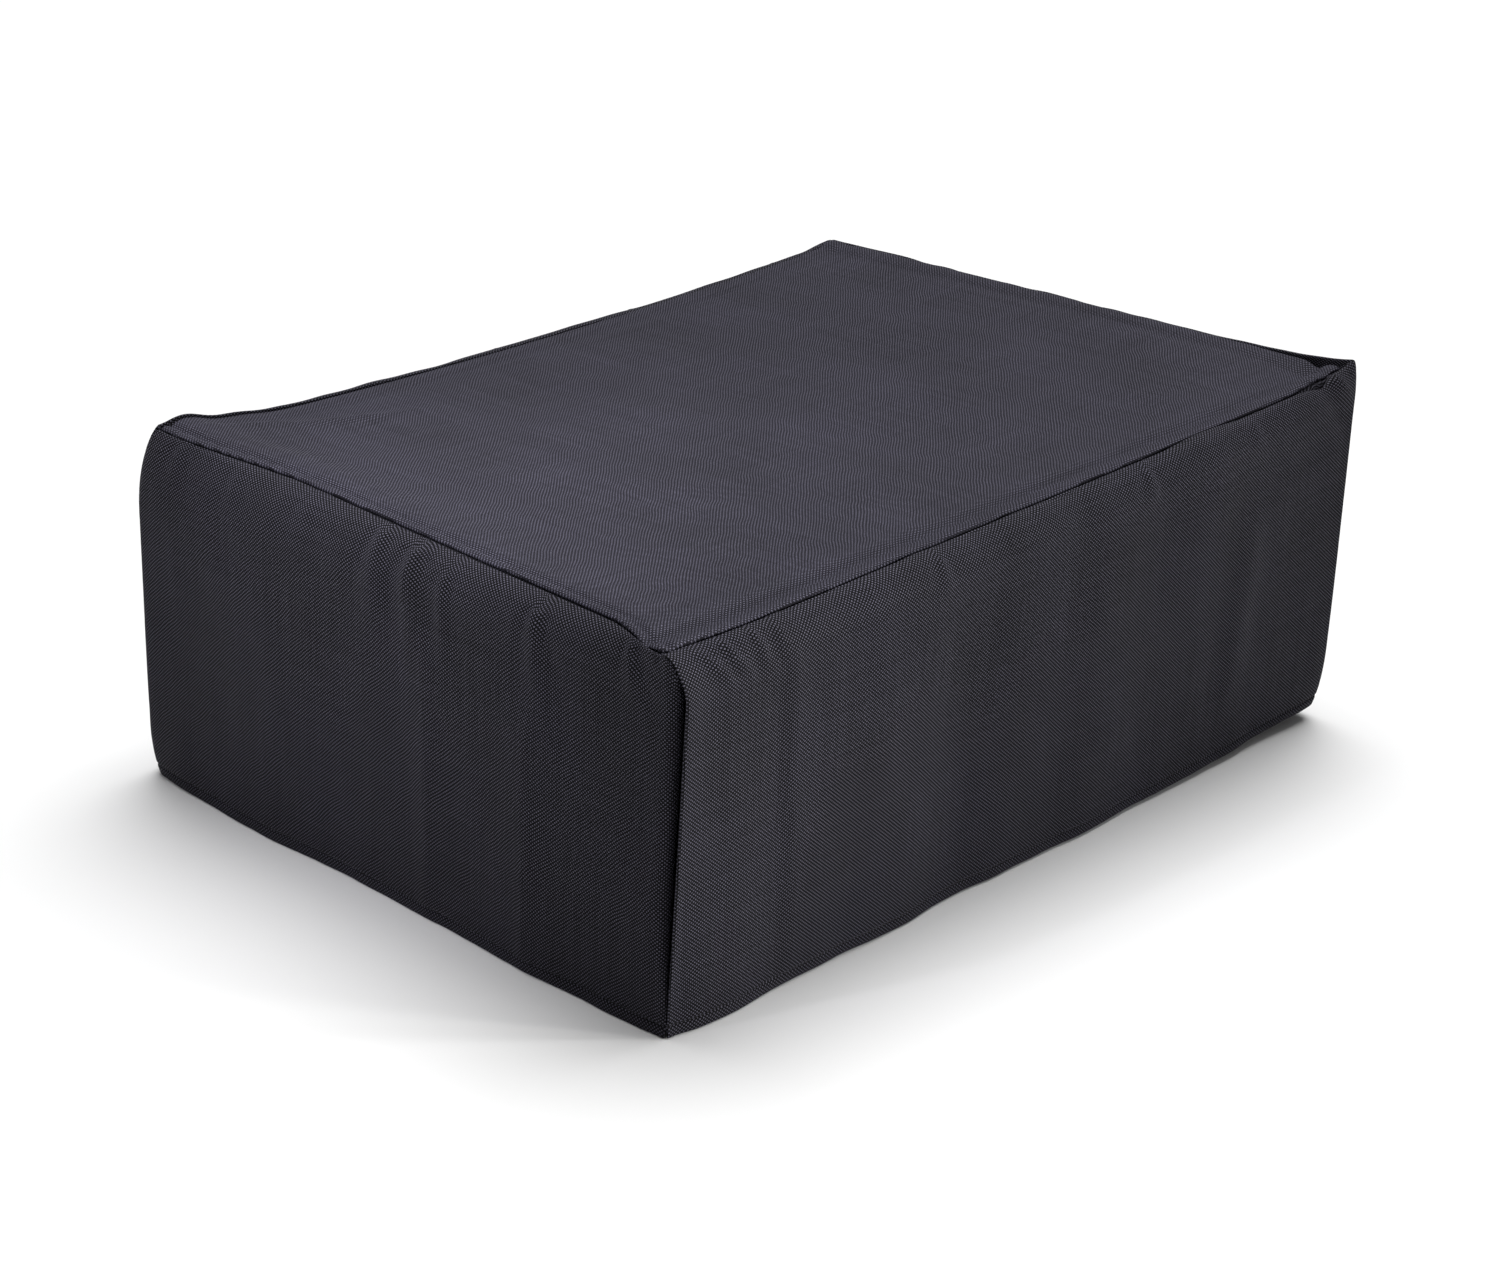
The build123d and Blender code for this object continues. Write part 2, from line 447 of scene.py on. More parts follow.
# ------------------------------ wall relief
def pucker(a, below, place, length, width, depth, lean, start=2.0):
    """A gather: a pinched ridge between two hollows, which fans out downwards.

    It leans along the wall as it goes down, and start is how far below the seam it begins.
    """
    run = np.clip((below - start) / length, 0, 1)
    centre = place + lean * length * run
    spread = width * (0.5 + 1.3 * run)
    side = 1.9 * spread
    hollows = bump(a, centre - side, spread) + bump(a, centre + side, spread)
    profile = ridge(a, centre, 0.9 * spread) - 0.65 * hollows
    return depth * profile * smooth((below - start) / 2.5) * (1 - run) ** 1.1


def front_relief(a, z, below):
    """How far the front wall stands out from its plain shape."""
    # A long crease where the cover was folded: the cloth rises to it sharply and falls away slowly beyond.
    crease = -171 + 0.05 * (170 - z)
    relief = 1.9 * np.clip((a - crease) / 9 + 1, 0, 1) * np.exp(-np.maximum(a - crease, 0) / 30)
    relief = relief * between(z, 8, 176, 24)
    relief = relief + 1.6 * bump(a, 148 + 0.06 * z, 11) * between(z, 35, 135, 40)
    relief = relief + 0.7 * bump(a, 228, 5) * between(z, 15, 60, 30)
    relief = relief - 1.8 * bump(a, -62, 26) * between(z, 10, 140, 50)
    relief = relief + 1.2 * bump(a, -110, 20) * between(z, 10, 150, 50)
    # Gathers fanning out from the front left corner, and a few smaller ones along the seam.
    for gather in (
        (-219, 26, 2.6, 1.4, 0.8, 0.5),
        (-206, 28, 2.6, 1.7, 0.55, 0.5),
        (-190, 26, 2.6, 1.4, 0.3, 0.5),
        (-176, 20, 3.4, 0.9, -0.1, 2.0),
        (-76, 20, 3.4, 1.3, 0.0, 2.0),
        (68, 22, 3.4, 1.5, 0.1, 2.0),
        (150, 18, 3.4, 0.8, 0.2, 2.0),
    ):
        relief = relief + pucker(a, below, *gather)
    # The collar at the front right corner is creased across.
    across = (14 * (a - 219) + 17 * (z - 187)) / 22
    relief = relief + (2.6 * ridge(across, 0, 4) - 2.0 * bump(across, -9, 6)) * smooth((a - 200) / 20)
    relief = relief + 1.1 * waves(a, z, 11, 7, 60, 140, 2.6)
    return relief + 0.22 * waves(a, z, 12, 9, 18, 40, 1.8)


def left_relief(a, z, below):
    """How far the left wall stands out from its plain shape."""
    relief = 2.3 * ridge(a, 91, 9) * between(z, 6, 122, 24)
    relief = relief + 1.6 * ridge(a, 26, 7) * between(z, 6, 138, 24)
    relief = relief - 0.9 * bump(a, 10, 11) * between(z, 30, 150, 50)
    for gather in (
        (-9, 50, 5.6, 2.2, 0.0, 2.0),
        (14, 62, 6.4, 3.1, 0.05, 3.0),
        (36, 70, 4.6, 1.7, 0.05, 7.0),
        (94, 60, 5.4, 2.5, 0.12, 5.0),
        (149, 34, 3.6, 2.2, 0.25, 2.0),
        (-60, 36, 6.0, 0.8, 0.0, 4.0),
        (-150, 30, 4.6, 1.2, -0.2, 2.0),
        (-110, 34, 5.4, 0.8, 0.1, 4.0),
    ):
        relief = relief + pucker(a, below, *gather)
    relief = relief + 0.6 * waves(a, z, 21, 7, 50, 120, 2.6)
    return relief + 0.2 * waves(a, z, 22, 9, 18, 40, 1.8)


def right_relief(a, z, below):
    """How far the right wall stands out from its plain shape."""
    relief = 0.9 * ridge(a, -70, 8) * between(z, -10, 120, 30)
    relief = relief + 0.9 * ridge(a, 84, 9) * between(z, -10, 130, 30)
    gathers = ((-130, 22, 1.1), (-40, 30, 1.3), (-22, 18, 0.8), (60, 24, 1.2), (139, 20, 1.0))
    for place, length, depth in gathers:
        relief = relief + pucker(a, below, place, length, 3.6, depth, 0.1)
    relief = relief + 0.45 * waves(a, z, 31, 7, 50, 120, 2.6)
    return relief + 0.2 * waves(a, z, 32, 9, 18, 40, 1.8)


def rear_relief(a, z, below):
    """How far the rear wall stands out from its plain shape."""
    relief = 0.9 * ridge(a, 158, 8) * between(z, -10, 165, 30)
    relief = relief + 0.8 * ridge(a, -120, 9) * between(z, -10, 130, 30)
    gathers = ((-190, 22, 1.1), (-84, 20, 1.0), (12, 26, 0.9), (97, 22, 1.1), (200, 24, 1.2))
    for place, length, depth in gathers:
        relief = relief + pucker(a, below, place, length, 3.6, depth, -0.1)
    relief = relief + 0.45 * waves(a, z, 41, 7, 60, 140, 2.6)
    return relief + 0.2 * waves(a, z, 42, 9, 18, 40, 1.8)


RELIEFS = (front_relief, right_relief, rear_relief, left_relief)

# ------------------------------ rows of a wall
# From the hem's raw edge, round its two turns, up the wall, over the roll, down into the groove beside the
# top panel and in under it.


def turn_points(centre_out, centre_z, radius, start, end, count):
    """Points round a small turn of the hem, as (out, z)."""
    angles = [math.radians(angle) for angle in np.linspace(start, end, count)]
    return [(centre_out + radius * math.cos(t), centre_z + radius * math.sin(t)) for t in angles]


HEM_ROWS = np.array(
    [(-1.5 * LAYER, 1.6), (-1.5 * LAYER, 4.0), (-1.5 * LAYER, HEM - 1.0)]
    + turn_points(-2 * LAYER, HEM - 0.6, 0.5 * LAYER, 0, 180, 5)
    + [(-2.5 * LAYER, HEM - 1.0), (-2.5 * LAYER, 5.0), (-2.5 * LAYER, 3.0), (-2.5 * LAYER, 1.4)]
    + turn_points(-1.5 * LAYER, HEM_TURN_HEIGHT + 0.1, LAYER, 180, 360, 7)
)
LOW_ROWS = np.concatenate([np.arange(1.6, 5.2, 0.9), [5.4, 5.7, 6.0, 6.3, 6.6], np.arange(7.2, 12.1, 1.2)])
WALL_ROWS = np.linspace(0, 1, 54)[1:]
ROLL_ROWS = np.linspace(0, 1, 32)[1:]
GROOVE_ROWS = np.linspace(0, 1, 8)[1:]
ALLOWANCE_ROWS = np.linspace(0.5 * FOLD_GAP, SEAM_ALLOWANCE, 8)[1:]
HEM_COUNT = len(HEM_ROWS)
LOW_END = HEM_COUNT + len(LOW_ROWS)
WALL_END = LOW_END + len(WALL_ROWS)
ROLL_END = WALL_END + len(ROLL_ROWS)
GROOVE_END = ROLL_END + len(GROOVE_ROWS)
ROW_COUNT = GROOVE_END + len(ALLOWANCE_ROWS)


def wall_profile(shape):
    """(o, z) of each row to the end of the groove, from a shape with one value for each row and column."""
    o = np.zeros((GROOVE_END,) + shape["foot"].shape[1:])
    z = o.copy()

    def upright(rows, height):
        """How far out the wall stands at a height."""
        lift = np.clip(height / shape["shoulder_z"][rows], 0, 1)
        lean = (shape["shoulder"][rows] - shape["foot"][rows]) * lift**0.85
        return shape["foot"][rows] + lean + shape["tuck"][rows] * np.exp(-height / 14.0)

    rows = slice(0, HEM_COUNT)
    z[rows] = HEM_ROWS[:, 1:] + shape["hem_up"][rows]
    o[rows] = upright(rows, z[rows]) + HEM_ROWS[:, :1]
    rows = slice(HEM_COUNT, LOW_END)
    z[rows] = LOW_ROWS[:, None] + shape["hem_up"][rows]
    o[rows] = upright(rows, z[rows]) - 0.5 * LAYER
    rows = slice(LOW_END, WALL_END)
    low = LOW_ROWS[-1] + shape["hem_up"][rows]
    z[rows] = low + (shape["shoulder_z"][rows] - low) * WALL_ROWS[:, None]
    o[rows] = upright(rows, z[rows]) - 0.5 * LAYER

    rows = slice(WALL_END, ROLL_END)
    start_o = shape["shoulder"][rows] - 0.5 * LAYER
    start_z = shape["shoulder_z"][rows]
    crest_o = shape["seam"][rows] + shape["crest_out"][rows]
    crest_z = shape["seam_z"][rows] + shape["crest_up"][rows]
    t = ROLL_ROWS[:, None]
    o[rows] = bezier(start_o, start_o + 0.3, crest_o + 0.48 * (start_o - crest_o), crest_o, t)
    near_crest = crest_z + 0.15 - shape["crest_slope"][rows] * (crest_z - start_z)
    z[rows] = bezier(start_z, start_z + 0.5 * (crest_z - start_z), near_crest, crest_z, t)

    rows = slice(ROLL_END, GROOVE_END)
    crest_o = shape["seam"][rows] + shape["crest_out"][rows]
    crest_z = shape["seam_z"][rows] + shape["crest_up"][rows]
    end_z = shape["seam_z"][rows] - FOLD_GAP - LAYER
    t = GROOVE_ROWS[:, None]
    o[rows] = bezier(crest_o, crest_o - 0.9, shape["seam"][rows] + 0.9, shape["seam"][rows] + 0.75, t)
    z[rows] = bezier(crest_z, crest_z - 0.1, end_z + 0.6, end_z, t)
    z[rows] -= 5.0 * shape["mouth"][rows] * np.sin(math.pi * t)
    return o, z


def corner_rows(corner, side):
    """How far out every row is at a corner, on the wall before it (side 0) or after it (side 1)."""
    values = CORNER_SHAPES[corner]
    shape = {key: np.full((GROOVE_END, 1), float(values[key][side])) for key in CORNER_KEYS}
    shape["mouth"] = np.zeros((GROOVE_END, 1))
    return wall_profile(shape)[0]


# Columns of points at each end of a wall: over the rounding, round into the groove, and along the allowance
CORNER_ARC = 7
CORNER_TURN = 8
CORNER_FIN = 6
TIGHTEST_TURN = 0.3  # what the rounding must leave beyond the gap, so that the groove can turn into it


def corner_template(radius, meet):
    """How a wall turns at a corner, as (along, in) from the sharp corner, one row for each radius.

    It runs from the allowance's raw edge, out along the diagonal, round into the seam's groove and over the
    rounded corner onto the wall. The groove's turn starts where the rounding has turned by the angle meet,
    or sooner where the rounding is too small for that.
    """
    radius = radius[:, None]
    widest = np.arccos((FIN_GAP + TIGHTEST_TURN) / (math.sqrt(2) * radius)) - math.pi / 4
    meet = np.minimum(np.radians(meet)[:, None], widest)
    angle = meet * np.linspace(1, 0, CORNER_ARC)[None]
    arc = radius * (1 - np.sin(angle)), radius * (1 - np.cos(angle))
    spare = np.cos(meet) - np.sin(meet)
    turn_radius = (radius * spare - FIN_GAP) / (math.sqrt(2) + spare)
    centre = arc[0][:, :1] + turn_radius * np.sin(meet), arc[1][:, :1] + turn_radius * np.cos(meet)
    first, last = math.radians(135), math.radians(270) - meet
    angle = first + (last - first) * np.linspace(0, 1, CORNER_TURN + 1)[None, :-1]
    turn = centre[0] + turn_radius * np.cos(angle), centre[1] + turn_radius * np.sin(angle)
    depth = (CORNER_ALLOWANCE / math.sqrt(2)) * np.linspace(1, 0, CORNER_FIN + 1)[None, :-1]
    fin = [turn[i][:, :1] + depth for i in (0, 1)]
    return [np.concatenate([fin[i], turn[i], arc[i]], 1) for i in (0, 1)]


def wall_shape(wall, f, a):
    """Every shape value of a wall, between its corners' values, at a share f along it."""
    before, after = CORNER_SHAPES[CORNERS[wall - 1]], CORNER_SHAPES[CORNERS[wall]]
    shape = {}
    for key in CORNER_KEYS:
        start, end = before[key][1], after[key][0]
        if key in REACH:
            usual = {"crest_out": CRESTS[wall][0], "crest_up": CRESTS[wall][1]}.get(key, 0.0)
            reach = RIGHT_COLLAR_REACH if (wall, key) == (1, "crest_up") else REACH[key]
            near_start = np.exp(-f * 2 * HALF[wall] / reach)
            near_end = np.exp(-(1 - f) * 2 * HALF[wall] / reach)
            shape[key] = usual + (start - usual) * near_start + (end - usual) * near_end
        else:
            shape[key] = start + (end - start) * f
    out, up = seam_middle(wall, a, f)
    shape["seam"] = shape["seam"] + out
    shape["seam_z"] = shape["seam_z"] + up
    mouth = bump(a, MOUTH_PLACE, MOUTH_WIDTH) if wall == 0 else 0.0 * a
    shape["mouth"] = mouth
    shape["crest_out"] = shape["crest_out"] + 1.6 * mouth
    shape["crest_up"] = shape["crest_up"] - 2.4 * mouth
    out, up = shoulder_middle(wall, a, f)
    shape["shoulder"] = shape["shoulder"] + out
    shape["shoulder_z"] = shape["shoulder_z"] + up
    window = smooth(f * 2 * HALF[wall] / 14) * smooth((1 - f) * 2 * HALF[wall] / 14)
    shape["foot"] = shape["foot"] + foot_middle(wall, a, f) * window
    return shape


def radius_rows(wall, side):
    """The corner's rounding at each row: it closes up towards the seam."""
    corner = CORNERS[wall - 1] if side == 0 else CORNERS[wall]
    foot, full = (CORNER_SHAPES[corner][key][1 - side] for key in ("foot_radius", "radius"))
    rows = np.arange(GROOVE_END)
    full = foot + (full - foot) * smooth((rows - HEM_COUNT - 4) / (0.45 * (WALL_END - HEM_COUNT)))
    return 1.4 + (full - 1.4) * (1 - smooth((rows - WALL_END - 5) / (ROLL_END - WALL_END - 5)))


def groove_rows():
    """The angle at which a corner seam's groove starts, at each row: small up the wall, where it is wide."""
    rows = np.arange(GROOVE_END)
    upright = smooth((rows - LOW_END + 2) / 12.0) * (1 - smooth((rows - WALL_END) / 14.0))
    return 38.0 - 27.0 * upright


def wall_surface(wall, columns):
    """The wall's points to the end of the groove, in wall coordinates, and their shares f along the wall."""
    start = -HALF[wall] - corner_rows(CORNERS[wall - 1], 0)
    end = HALF[wall] + corner_rows(CORNERS[wall], 1)
    along_start, in_start = corner_template(radius_rows(wall, 0), groove_rows())
    along_end, in_end = corner_template(radius_rows(wall, 1), groove_rows())
    left, right = start + along_start, end - along_end[:, ::-1]
    t = np.linspace(0, 1, columns + 2)[None, 1:-1]
    middle = left[:, -1:] + (right[:, :1] - left[:, -1:]) * t
    a = np.concatenate([left, middle, right], 1)
    inward = np.concatenate([in_start, np.zeros_like(middle), in_end[:, ::-1]], 1)
    f = np.clip((a - start) / (end - start), 0, 1)

    shape = wall_shape(wall, f, a)
    o, z = wall_profile(shape)
    step_o, step_z = np.gradient(o, axis=0), np.gradient(z, axis=0)
    size = np.hypot(step_o, step_z) + 1e-9
    normal_o, normal_z = step_z / size, -step_o / size
    normal_o[:LOW_END], normal_z[:LOW_END] = 1.0, 0.0

    from_end = np.minimum(a - start, end - a)
    fade = smooth((from_end - 3) / 16)
    below = shape["seam_z"] - z
    relief = RELIEFS[wall](a, np.maximum(z, 0), below) * fade
    rows = np.arange(GROOVE_END)[:, None]
    relief = relief * (1 - smooth((rows - ROLL_END + 1) / 2.0))
    stitch_row = bump(z, HEM_STITCH_HEIGHT + shape["hem_up"], HEM_GROOVE_WIDTH) * (rows >= HEM_COUNT)
    push = relief - HEM_GROOVE_DEPTH * stitch_row - inward
    o = o + normal_o * push
    z = z + normal_z * push
    return a, o, z, f


def faces_of_wall(columns):
    """Quads of a wall, without the corner allowances beside the hem and under the top panel."""
    quads = grid_quads(ROW_COUNT, columns)
    keep = np.ones(quads.shape[:2], bool)
    fin = CORNER_FIN + CORNER_TURN - 1
    for side in (slice(0, fin), slice(columns - 1 - fin, columns - 1)):
        keep[: HEM_COUNT + 2, side] = False
        keep[ROLL_END:, side] = False
    return quads[keep]


# ------------------------------ top surface
def seam_curve(wall, f):
    """The seam line of a wall at shares f from corner to corner, in the cover's coordinates."""
    before, after = CORNER_SHAPES[CORNERS[wall - 1]], CORNER_SHAPES[CORNERS[wall]]
    start = -HALF[wall] - before["seam"][0]
    end = HALF[wall] + after["seam"][1]
    a = start + (end - start) * f
    shape = wall_shape(wall, f, a)
    return to_frame(wall, a, shape["seam"], shape["seam_z"])


def top_relief(x, y, front, right, rear, left):
    """How the top panel lies between its seams, from each point's distances to the four of them."""
    nearest = np.minimum(np.minimum(front, rear), np.minimum(left, right))
    slack = smooth(nearest / 60)
    relief = -1.6 * slack
    # The allowances hold up a strip along each seam, and the sheet dips beyond it.
    for distance, wide, lift, dip in (
        (front, 6, 0.9, 2.4),
        (right, 6, 0.4, 1.0),
        (rear, 6, 0.4, 0.8),
        (left, 2.5, 0.9, 1.2),
    ):
        relief = relief + lift * smooth(distance / 1.4) * (1 - smooth((distance - wide) / (0.8 * wide)))
        relief = relief - dip * bump(distance, 2 * wide, 0.8 * wide)
    # A long ripple from the rear left corner, and soft diagonal wrinkles.
    ripple = ridge(y - 150 + 0.30 * (x + 190), 0, 6)
    relief = relief + 2.8 * ripple * between(x, -215, -110, 60) * smooth(rear / 12)
    relief = relief + 0.9 * bump(x + 0.8 * y, -120, 20) * between(y, -120, 120, 90) * slack
    # The collar at the front right corner draws up the cloth beside it.
    relief = relief - 2.6 * bump(x, 208, 26) * bump(y, -148, 14) * smooth(nearest / 6)
    relief = relief + 1.4 * ridge(y, -120 + 0.12 * (x - 200), 7) * between(x, 150, 222, 40)
    relief = relief + 1.2 * bump(x, 208, 14) * smooth(front / 1.5) * (1 - smooth((front - 4) / 6))
    relief = relief + 0.8 * waves(x, y, 51, 8, 70, 190) * slack
    return relief + 0.22 * waves(x + 0.5 * y, y, 52, 10, 24, 60) * smooth(nearest / 25)


def top_surface(u, v):
    """The top sheet at shares u along +X and v along +Y of the seam loop, as x, y, z."""
    u, v = np.broadcast_arrays(np.asarray(u, float), np.asarray(v, float))
    front, rear = seam_curve(0, u), seam_curve(2, 1 - u)
    right, left = seam_curve(1, v), seam_curve(3, 1 - v)
    front_corners = [seam_curve(0, np.array(share)) for share in (0.0, 1.0)]
    rear_corners = [seam_curve(2, np.array(share)) for share in (1.0, 0.0)]
    su, sv = u[..., None], v[..., None]
    patch = (1 - sv) * front + sv * rear + (1 - su) * left + su * right
    patch = patch - (1 - su) * (1 - sv) * front_corners[0] - su * (1 - sv) * front_corners[1]
    patch = patch - (1 - su) * sv * rear_corners[0] - su * sv * rear_corners[1]
    edges = (v * LOOP_DEPTH, (1 - u) * LOOP_LENGTH, (1 - v) * LOOP_DEPTH, u * LOOP_LENGTH)
    patch[..., 2] += top_relief(patch[..., 0], patch[..., 1], *edges)
    return patch


def inset_shares(inset, counts):
    """The least shares at an inset from the seam line, and the shares from there to the other side."""
    u0, v0 = inset / LOOP_LENGTH, inset / LOOP_DEPTH
    along, across = counts
    return u0, v0, u0 + (1 - 2 * u0) * edge_dense(along), v0 + (1 - 2 * v0) * edge_dense(across)


def inset_loop(inset, counts, lower, outward=0.0):
    """A loop round the top panel, inset from the seam line and lowered; outward then moves it out again."""
    along, across = counts
    u0, v0, u, v = inset_shares(inset, counts)
    us = np.concatenate([u[:-1], np.full(across - 1, 1 - u0), u[:0:-1], np.full(across - 1, u0)])
    vs = np.concatenate([np.full(along - 1, v0), v[:-1], np.full(along - 1, 1 - v0), v[:0:-1]])
    loop = top_surface(us, vs)
    ahead = np.roll(loop, -1, 0) - np.roll(loop, 1, 0)
    side = np.stack([ahead[:, 1], -ahead[:, 0]], -1)
    loop[:, :2] += outward * side / np.linalg.norm(side, axis=1, keepdims=True)
    loop[:, 2] -= lower
    return loop


def edge_dense(count):
    """Shares from 0 to 1, closer together near both ends."""
    t = np.linspace(0, 1, count)
    return t - 0.105 * np.sin(2 * math.pi * t)


# ------------------------------ cloth pieces
def cloth_across(points, along):
    """Each point's place across the flat cloth: measured along the cloth round a corner, upright between."""
    first = CORNER_FIN + CORNER_TURN + CORNER_ARC - 1
    across = along.copy()
    steps = np.linalg.norm(np.diff(points, axis=1), axis=2)
    for column in range(first - 1, -1, -1):
        across[:, column] = across[:, column + 1] - steps[:, column]
    for column in range(points.shape[1] - first, points.shape[1]):
        across[:, column] = across[:, column - 1] + steps[:, column - 1]
    return across


def allowance_row(wall, inset, share):
    """One row of a wall's allowance under the top panel, at an inset from the seam."""
    du, dv = inset / LOOP_LENGTH, inset / LOOP_DEPTH
    u = du + (1 - 2 * du) * (share if wall == 0 else 1 - share)
    v = dv + (1 - 2 * dv) * (share if wall == 1 else 1 - share)
    row = top_surface((u, 1 - du, u, du)[wall], (dv, v, 1 - dv, v)[wall])
    row[:, 2] -= FOLD_GAP + LAYER
    return row


def make_wall(wall):
    """One wall as a single sheet, with its points by row and column."""
    a, o, z, f = wall_surface(wall, WALL_COLUMNS[wall])
    rows = [allowance_row(wall, inset, f[-1]) for inset in ALLOWANCE_ROWS]
    points = np.concatenate([to_frame(wall, a, o, z), np.stack(rows)], 0)
    steps = np.linalg.norm(np.diff(points, axis=0), axis=2)
    up = np.concatenate([np.zeros((1, points.shape[1])), np.cumsum(steps, 0)], 0)
    along = np.concatenate([a, np.repeat(a[-1:], len(ALLOWANCE_ROWS), 0)], 0)
    weave = np.stack([cloth_across(points, along), up - up[HEM_COUNT]], -1)
    faces = faces_of_wall(points.shape[1]).tolist()
    name = f"{WALLS[wall]}_wall_cloth"
    piece = mesh_object(name, points.reshape(-1, 3), faces, SHADED_WALL_CLOTH, weave.reshape(-1, 2))
    thicken(piece)
    return piece, points


def make_top():
    """The top panel: one sheet, its edge turned under in a tight fold, and the allowance inside."""
    along, across = TOP_COUNTS
    first = 0.5 * FOLD_GAP
    _, _, u, v = inset_shares(first, TOP_COUNTS)
    sheet = top_surface(u[None, :], v[:, None])
    points = [sheet.reshape(-1, 3)]
    index = np.arange(along * across).reshape(across, along)
    border = np.concatenate([index[0, :-1], index[:-1, -1], index[-1, :0:-1], index[:0:-1, 0]])
    faces = [grid_quads(across, along).reshape(-1, 4)]
    # Each ring is (inset from the seam line, how much lower, how far out again).
    fold = [(first, first * (1 - math.cos(t)), first * math.sin(t)) for t in np.linspace(0, math.pi, 8)[1:]]
    for inset, lower, outward in fold + [(inset, FOLD_GAP, 0.0) for inset in ALLOWANCE_ROWS]:
        start = sum(len(part) for part in points)
        points.append(inset_loop(inset, TOP_COUNTS, lower, outward))
        ring = np.arange(start, start + len(border))
        faces.append(np.stack([border, ring, np.roll(ring, -1), np.roll(border, -1)], -1))
        border = ring
    points = np.concatenate(points)
    faces = np.concatenate(faces).tolist()
    piece = mesh_object("top_cloth_sheet", points, faces, LIT_TOP_CLOTH, points[:, :2])
    thicken(piece)
    return piece


# ------------------------------ stitches
def reach_of(path):
    """The distance along a path to each of its points."""
    steps = np.linalg.norm(np.diff(path, axis=0), axis=1)
    return np.concatenate([[0], np.cumsum(steps)])


def along_path(path, distance, values):
    """The values, one for each point of a path, at distances along it."""
    reach = reach_of(path)
    return np.stack([np.interp(distance, reach, values[:, i]) for i in range(3)], -1)


def tubes(paths, radius, sides):
    """Closed tubes of one thickness round many short paths of equal length, as points and faces."""
    count, rings = paths.shape[:2]
    ahead = np.gradient(paths, axis=1)
    ahead /= np.linalg.norm(ahead, axis=2, keepdims=True) + 1e-9
    guide = np.array([0.0, 0.0, 1.0]) + 0.3 * np.array([1.0, 0.7, 0.0])
    side = np.cross(ahead, guide)
    side /= np.linalg.norm(side, axis=2, keepdims=True) + 1e-9
    other = np.cross(ahead, side)
    angle = np.arange(sides) * 2 * math.pi / sides
    ends = np.ones(rings)
    ends[0] = ends[-1] = 0.45
    offset = side[:, :, None] * np.cos(angle)[:, None] + other[:, :, None] * np.sin(angle)[:, None]
    points = paths[:, :, None] + radius * ends[None, :, None, None] * offset
    index = np.arange(count * rings * sides).reshape(count, rings, sides)
    around = np.roll(index, -1, 2)
    faces = np.stack([index[:, :-1], around[:, :-1], around[:, 1:], index[:, 1:]], -1)
    faces = faces.reshape(-1, 4).tolist()
    faces += index[:, 0, ::-1].tolist() + index[:, -1].tolist()
    return points.reshape(-1, 3), faces


def stitch_paths(path, out, lift, length=STITCH_LENGTH):
    """Short bowed stitches along a path; out is the direction away from the cloth at each of its points."""
    total = reach_of(path)[-1]
    count = int(total / STITCH_PITCH)
    shares = np.linspace(0, 1, 6)
    places = (np.arange(count)[:, None] + 0.5) * STITCH_PITCH + (shares[None] - 0.5) * length
    places = (places * total / (count * STITCH_PITCH)).ravel()
    points = along_path(path, places, path)
    away = along_path(path, places, out)
    bow = lift * np.tile(np.sin(math.pi * shares) ** 0.5, count) - 0.12
    return (points + away * bow[:, None]).reshape(count, len(shares), 3)


def thread_piece(name, paths, radius, node, slot):
    """One thread as tubes along its paths, in place of its CAD node."""
    material, sides = (SEWING_THREAD, 6) if slot == "sewing_thread" else (OVERLOCK_THREAD, 5)
    points, faces = tubes(paths, radius, sides)
    piece = mesh_object(name, points, faces, material)
    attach(piece, "root")
    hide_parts(node)


def outward_of(wall):
    """The direction straight out from a wall."""
    return to_frame(wall, 0.0, 1.0, 0.0) - to_frame(wall, 0.0, 0.0, 0.0)


def hem_line(walls, inward):
    """The line of the hem's stitches right round the cover, and the direction away from the cloth."""
    row = HEM_COUNT + int(np.argmin(abs(LOW_ROWS - HEM_STITCH_HEIGHT)))
    path, away = [], []
    first = CORNER_FIN + CORNER_TURN
    for wall, points in enumerate(walls):
        line = points[row, first:-first]
        path.append(line - outward_of(wall) * inward)
        away.append(np.repeat(outward_of(wall)[None], len(line), 0))
    return closed(np.concatenate(path)), closed(np.concatenate(away))


def make_hem_threads(walls):
    """The hem's two threads: short thick stitches outside and thin ones inside."""
    path, away = hem_line(walls, -0.5 * CLOTH)
    paths = stitch_paths(path, away, 0.35, 2.5)
    thread_piece("hem_needle_stitches", paths, 0.38, "hem_needle_thread", "sewing_thread")
    path, away = hem_line(walls, 2 * LAYER + 0.5 * CLOTH - 0.1)
    paths = stitch_paths(path, -away, 0.16)
    thread_piece("hem_bobbin_stitches", paths, 0.17, "hem_bobbin_thread", "sewing_thread")


def make_top_threads():
    """The top seam's two threads, on the upper and lower faces of the allowances."""
    rows = (("needle", FOLD_GAP - 0.5 * CLOTH, 1.0), ("bobbin", FOLD_GAP + LAYER + 0.5 * CLOTH, -1.0))
    for role, lower, up in rows:
        loop = closed(inset_loop(1.6, SEAM_COUNTS, lower))
        paths = stitch_paths(loop, np.repeat([[0.0, 0.0, up]], len(loop), 0), 0.12)
        thread_piece(f"top_seam_{role}_stitches", paths, 0.14, f"top_seam_{role}_thread", "sewing_thread")


def fin_line(points, end, column):
    """One column of a corner's allowance, from the hem up to the roll."""
    column = column if end == 0 else points.shape[1] - 1 - column
    return points[HEM_COUNT + 8 : ROLL_END - 2, column]


